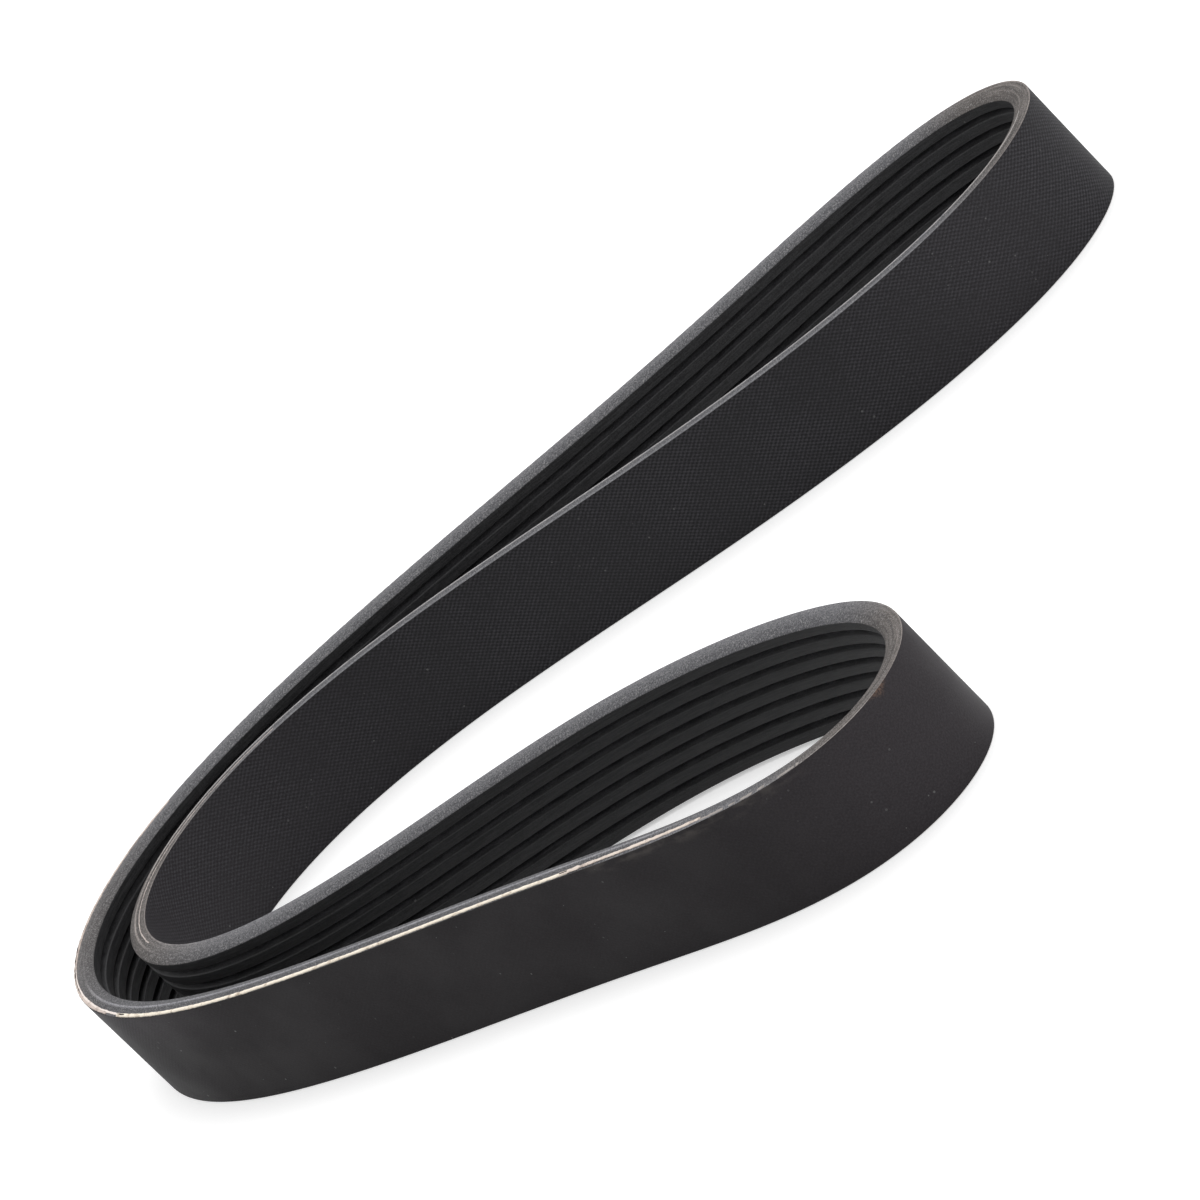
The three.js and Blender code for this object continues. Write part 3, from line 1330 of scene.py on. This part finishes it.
    def smooth(self, bench: GrowthBench, belt: Socket) -> Socket:
        """Shades the belt smooth, but for its sharp edges.

        Args:
            bench: The tree.
            belt: The belt.

        Returns:
            The shaded belt.
        """
        angle = bench.add("GeometryNodeInputMeshEdgeAngle").outputs[0]
        sharp = bench.math("GREATER_THAN", angle, self.sharp_angle)
        belt = bench.add("GeometryNodeSetShadeSmooth", {0: belt, "Shade Smooth": True}).outputs[0]
        inputs = {0: belt, "Selection": sharp, "Shade Smooth": False}
        return bench.add("GeometryNodeSetShadeSmooth", inputs, domain="EDGE").outputs[0]

    def outer_faces(self, bench: GrowthBench, width: Socket) -> tuple[Socket, Socket]:
        """Tells the faces of the back and of the cut sides from those of the ribs.

        Args:
            bench: The tree.
            width: The belt's width.

        Returns:
            Sockets that are 1 on the back's faces and on the sides' faces.
        """
        depth = bench.on_faces(bench.read(Mark.DEPTH))
        height = bench.on_faces(bench.parts(bench.position())[2])
        side_gap = bench.math("MINIMUM", height, bench.math("SUBTRACT", width, height))
        flank = bench.math("MAXIMUM", bench.math("SUBTRACT", depth, self.section.root_depth), 0.0)
        reach = bench.math("MULTIPLY_ADD", flank, self.section.flank_slope, self.side_reach)
        on_sides = bench.product(bench.math("LESS_THAN", side_gap, reach),
                                 bench.math("GREATER_THAN", depth, self.side_start))
        return bench.math("LESS_THAN", depth, self.back_depth), on_sides

    def build(self) -> None:
        """Builds and dresses the belt's body."""
        source, profile = self.path(), self.profile()
        self.sweep(source, profile)
        body = settle(source, "belt_body")
        bpy.data.objects.remove(profile)
        keep(body)


@dataclass(frozen=True)
class YarnRun:
    """One run of bare or frayed yarn along the upper cut side.

    route pairs places on the loop, as shares of it, with the run's depth from the back there in
    millimetres. flat is its height for its width, and sunk how deep its middle lies. gaps is
    the share of the run that is missing, and below 0 it has no gap.
    """

    name: str
    finish: CordYarn
    seed: int
    route: Levels
    radius: float
    flat: float
    sunk: float
    ragged: float
    gaps: float
    gap_length: float
    wander: float


@dataclass
class BareCords:
    """The belt's tensile cords, where the cut or the wear has laid them bare."""

    body: BeltBody
    runs: tuple[YarnRun, ...]
    step: float = 0.22 * MM
    sway_length: float = 1.2 * MM
    sway_middle: Triple = (0.5, 0.5, 0.5)
    sway_reach: Triple = (2.0, 2.0, 0.5)
    swell_length: float = 0.9 * MM
    swell_gain: float = 4.0
    least_swell: float = 0.3
    swell_seed: float = 40.0
    gap_gain: float = 2.2
    gap_start: float = -0.6
    detail: float = 2.0
    rim_points: int = 9

    def line(self, run: YarnRun) -> bpy.types.Object:
        """Lays a run's middle line along the belt as a row of edges.

        Args:
            run: The run.

        Returns:
            The line.
        """
        plan = self.body.plan
        stops, depths = zip(*run.route)
        count = int((stops[-1] - stops[0]) * self.body.length / self.step)
        shares = np.linspace(stops[0], stops[-1], count)
        places = shares * len(plan)
        depth = np.interp(shares, stops, depths) * MM
        middle = read_between(plan, places) + read_between(inward_at(plan), places) * depth
        level = self.body.section.width - run.sunk
        mesh = bpy.data.meshes.new(run.name + "_line")
        mesh.from_pydata([(p.real, p.imag, level) for p in middle],
                         [(i, i + 1) for i in range(count - 1)], [])
        return stand_in(run.name + "_line", mesh)

    def cloud(self, bench: GrowthBench, seed: Socket, size: object) -> bpy.types.Node:
        """Adds a seeded cloudy pattern on the yarn's own place.

        Args:
            bench: The tree.
            seed: The pattern's seed.
            size: Size of its clouds.

        Returns:
            The pattern's node.
        """
        return bench.add("ShaderNodeTexNoise", {
            "Vector": bench.position(), "W": seed, "Scale": bench.math("DIVIDE", 1.0, size),
            "Detail": self.detail,
        }, noise_dimensions="4D")

    def swayed(self, bench: GrowthBench, line: Socket, seed: Socket, wander: Socket) -> Socket:
        """Makes a line wander to both sides.

        Args:
            bench: The tree.
            line: The line.
            seed: The run's seed.
            wander: How far it wanders.

        Returns:
            The wandering line.
        """
        sway = self.cloud(bench, seed, self.sway_length).outputs["Color"]
        for operation, other in (("SUBTRACT", self.sway_middle), ("MULTIPLY", self.sway_reach)):
            sway = bench.add("ShaderNodeVectorMath", {0: sway, 1: other},
                             operation=operation).outputs[0]
        inputs = {"Geometry": line, "Offset": bench.scaled(sway, wander)}
        return bench.add("GeometryNodeSetPosition", inputs).outputs[0]

    def swell(self, bench: GrowthBench, seed: Socket, ragged: Socket) -> Socket:
        """Makes yarn swell and thin out along its line.

        Args:
            bench: The tree.
            seed: The run's seed.
            ragged: How uneven it is.

        Returns:
            Its thickness there, for its mean thickness.
        """
        shifted = bench.math("ADD", seed, self.swell_seed)
        level = self.cloud(bench, shifted, self.swell_length).outputs["Fac"]
        swell = bench.math("MULTIPLY_ADD", bench.math("SUBTRACT", level, 0.5),
                           bench.product(ragged, self.swell_gain), 1.0)
        return bench.math("MAXIMUM", swell, self.least_swell)

    def grow(self, run: YarnRun) -> None:
        """Grows one run: yarn that swells, wanders and breaks along its line.

        Args:
            run: The run.
        """
        source = self.line(run)
        bench = GrowthBench(run.name + "_growth")
        radius, flat, ragged, gaps, gap_length, wander, top = (
            bench.size(name, value) for name, value in (
                ("Yarn Radius", run.radius), ("Flatness", run.flat), ("Raggedness", run.ragged),
                ("Gap Share", run.gaps), ("Gap Length", run.gap_length), ("Wander", run.wander),
                ("Side Level", self.body.section.width)))
        seed = bench.size("Seed", run.seed, "Int")
        finish = bench.size("Finish", run.finish.material(), "Material")
        spread = bench.math("MULTIPLY_ADD", self.cloud(bench, seed, gap_length).outputs["Fac"],
                            self.gap_gain, self.gap_start)
        line = bench.add("GeometryNodeDeleteGeometry", {
            "Geometry": bench.group.outputs["Geometry"],
            "Selection": bench.math("LESS_THAN", spread, gaps),
        }, domain="POINT").outputs[0]
        curve = bench.upright_curve(self.swayed(bench, line, seed, wander))
        rim = bench.add("GeometryNodeCurvePrimitiveCircle", {
            "Resolution": self.rim_points, "Radius": 1.0}).outputs[0]
        rim = bench.add("GeometryNodeTransform", {
            "Geometry": rim, "Scale": bench.joined(1.0, flat, 1.0)}).outputs[0]
        yarn = bench.add("GeometryNodeCurveToMesh", {
            "Curve": curve, "Profile Curve": rim, "Fill Caps": True,
            "Scale": bench.product(radius, self.swell(bench, seed, ragged)),
        }).outputs[0]
        bench.grow(source, bench.held_under(yarn, top), (finish, True))
        keep(settle(source, run.name))

    def build(self) -> None:
        """Builds every run."""
        for run in self.runs:
            self.grow(run)


def bare_runs() -> tuple[YarnRun, ...]:
    """Gives the runs of yarn that show on the belt.

    Returns:
        The runs, first those along the back's corner, then the burr and the fray of the long arm.
    """
    cream = CordYarn("cream_yarn")
    pink = CordYarn("stained_yarn", (0.62, 0.53, 0.48), (0.32, 0.26, 0.23))
    tan = CordYarn("tan_yarn", (0.72, 0.63, 0.56), (0.42, 0.35, 0.31))
    pale = CordYarn("pale_yarn", (0.84, 0.76, 0.71), (0.56, 0.47, 0.43))
    dull = CordYarn("dull_fray", (0.34, 0.31, 0.29), (0.20, 0.18, 0.17))
    rosy = CordYarn("rosy_fray", (0.50, 0.44, 0.41), (0.24, 0.21, 0.20))
    grey = CordYarn("grey_fray", (0.46, 0.44, 0.43), (0.24, 0.23, 0.225))
    return (
        YarnRun("cord_bare", cream, seed=1, radius=0.42 * MM, flat=0.55, sunk=0.20 * MM,
                ragged=0.26, gaps=-1.0, gap_length=6.0 * MM, wander=0.11 * MM,
                route=((0.341, 0.52), (0.36, 0.54), (0.42, 0.60), (0.472, 0.64))),
        YarnRun("cord_fading", tan, seed=2, radius=0.42 * MM, flat=0.35, sunk=0.085 * MM,
                ragged=0.35, gaps=0.0, gap_length=3.0 * MM, wander=0.09 * MM,
                route=((0.470, 0.62), (0.485, 0.92), (0.506, 1.10))),
        YarnRun("cord_patches", dull, seed=3, radius=0.34 * MM, flat=0.28, sunk=0.07 * MM,
                ragged=0.5, gaps=0.42, gap_length=2.6 * MM, wander=0.12 * MM,
                route=((0.506, 0.62), (0.529, 0.50))),
        YarnRun("cord_elbow_rim", pink, seed=8, radius=0.34 * MM, flat=0.5, sunk=0.12 * MM,
                ragged=0.35, gaps=0.12, gap_length=4.0 * MM, wander=0.08 * MM,
                route=((0.262, 0.36), (0.336, 0.46))),
        YarnRun("cord_outer_elbow", pale, seed=4, radius=0.24 * MM, flat=0.7, sunk=0.10 * MM,
                ragged=0.3, gaps=0.05, gap_length=3.0 * MM, wander=0.06 * MM,
                route=((0.296, 0.26), (0.310, 0.50), (0.326, 0.86), (0.336, 0.74),
                       (0.344, 0.56))),
        YarnRun("cord_inner_elbow", rosy, seed=5, radius=0.135 * MM, flat=0.7, sunk=0.08 * MM,
                ragged=0.45, gaps=0.08, gap_length=1.6 * MM, wander=0.14 * MM,
                route=((0.774, 1.35), (0.780, 1.5), (0.792, 1.55), (0.805, 1.4), (0.835, 1.1))),
        YarnRun("burr_long_near", grey, seed=6, radius=0.10 * MM, flat=0.8, sunk=0.09 * MM,
                ragged=0.4, gaps=0.22, gap_length=3.0 * MM, wander=0.03 * MM,
                route=((0.80, 2.50), (1.03, 2.50))),
        YarnRun("fray_long_far", grey, seed=7, radius=0.12 * MM, flat=0.7, sunk=0.10 * MM,
                ragged=0.5, gaps=0.50, gap_length=1.4 * MM, wander=0.06 * MM,
                route=((0.0685, 0.22), (0.262, 0.22))),
    )


@dataclass(frozen=True)
class SoftLamp:
    """A square softbox."""

    name: str
    place: Triple
    side: float
    power: float

    def hang(self, aim: Vector) -> None:
        """Hangs the lamp, turned towards a point.

        Args:
            aim: The point.
        """
        lamp = bpy.data.lights.new(self.name, "AREA")
        lamp.shape = "SQUARE"
        lamp.size = self.side
        lamp.energy = self.power
        hung = stand_in(self.name, lamp)
        hung.location = self.place
        hung.rotation_euler = (aim - Vector(self.place)).to_track_quat("-Z", "Y").to_euler()


@dataclass
class Studio:
    """White floor, soft light, and the camera where the photograph was taken from.

    floor_glow is what the floor adds to its own light where it is seen, and room_light how
    strongly the white room lights the belt.
    """

    aim: Triple = (-2.377 * MM, 82.072 * MM, 0.0)
    elevation: float = math.radians(21.3085)
    heading: float = math.radians(2.8749)
    roll: float = math.radians(-44.9367)
    distance: float = 1732.98 * MM
    lens: float = 270.0
    sensor: float = 36.0
    clip: Band = (0.05, 50.0)
    floor_half: float = 5.0
    floor_drop: float = 0.1 * MM
    floor_colour: Colour = (0.8, 0.8, 0.8)
    floor_glow: float = 0.45
    room_light: float = 0.45
    white: Colour = (1, 1, 1)
    lamp_aim: Triple = (0.0, 0.0, 0.01)
    lamps: tuple[SoftLamp, ...] = (
        SoftLamp("overhead_softbox", (0.10, 0.45, 1.5), 1.6, 21.0),
        SoftLamp("front_softbox", (0.75, -1.2, 0.8), 1.0, 6.0),
    )

    def set_camera(self) -> None:
        """Makes the camera, rolled as the photograph is, and gives it to the scene."""
        turn = Matrix.Rotation(self.heading, 3, "Z")
        rise, sink = math.sin(self.elevation), math.cos(self.elevation)
        right = turn @ Vector((1, 0, 0))
        up = turn @ Vector((0, rise, sink))
        back = turn @ Vector((0, -sink, rise))
        cosine, sine = math.cos(self.roll), math.sin(self.roll)
        across = right * cosine + up * sine
        upward = up * cosine - right * sine
        camera = bpy.data.cameras.new("photo_camera")
        camera.lens, camera.sensor_width = self.lens, self.sensor
        camera.clip_start, camera.clip_end = self.clip
        held = stand_in("photo_camera", camera)
        axes = Matrix((across, upward, back)).transposed().to_4x4()
        held.matrix_world = Matrix.Translation(Vector(self.aim) + back * self.distance) @ axes
        bpy.context.scene.camera = held

    def lay_floor(self) -> None:
        """Lays the pale floor, white to the camera but for the belt's shadow."""
        bench = FinishBench("white_floor")
        glow = bench.add("ShaderNodeEmission", {
            "Color": _rgba(self.white), "Strength": bench.product(bench.seen(), self.floor_glow)})
        paper = bench.add("ShaderNodeBsdfDiffuse", {"Color": _rgba(self.floor_colour)})
        both = bench.add("ShaderNodeAddShader", {0: paper.outputs[0], 1: glow.outputs[0]})
        bench.add("ShaderNodeOutputMaterial", {"Surface": both.outputs[0]})
        mesh = bpy.data.meshes.new("studio_floor")
        corners = [(x * self.floor_half, y * self.floor_half, -self.floor_drop)
                   for x, y in ((-1, -1), (1, -1), (1, 1), (-1, 1))]
        mesh.from_pydata(corners, [], [(0, 1, 2, 3)])
        mesh.materials.append(bench.material)
        stand_in("studio_floor", mesh)

    def light(self) -> None:
        """Hangs the lamps and sets the even light of the room."""
        for lamp in self.lamps:
            lamp.hang(Vector(self.lamp_aim))
        world = bpy.data.worlds.new("studio_room")
        world.use_nodes = True
        world.node_tree.nodes.clear()
        bench = NodeBench(world.node_tree)
        strength = bench.rise(bench.seen(), Rise(0.0, 1.0, self.room_light, 1.0))
        room = bench.add("ShaderNodeBackground", {
            "Color": _rgba(self.white), "Strength": strength})
        bench.add("ShaderNodeOutputWorld", {"Surface": room.outputs[0]})
        bpy.context.scene.world = world
        bpy.context.scene.view_settings.view_transform = "Standard"


def main() -> None:
    """Builds the studio and the belt in order."""
    logging.basicConfig(level=logging.INFO, format="%(name)s: %(message)s")
    studio = Studio()
    studio.set_camera()
    studio.lay_floor()
    studio.light()
    LOG.info("studio: camera, floor and %d lamps", len(studio.lamps))
    body = BeltBody()
    body.build()
    BareCords(body, bare_runs()).build()


if __name__ == "__main__":
    main()
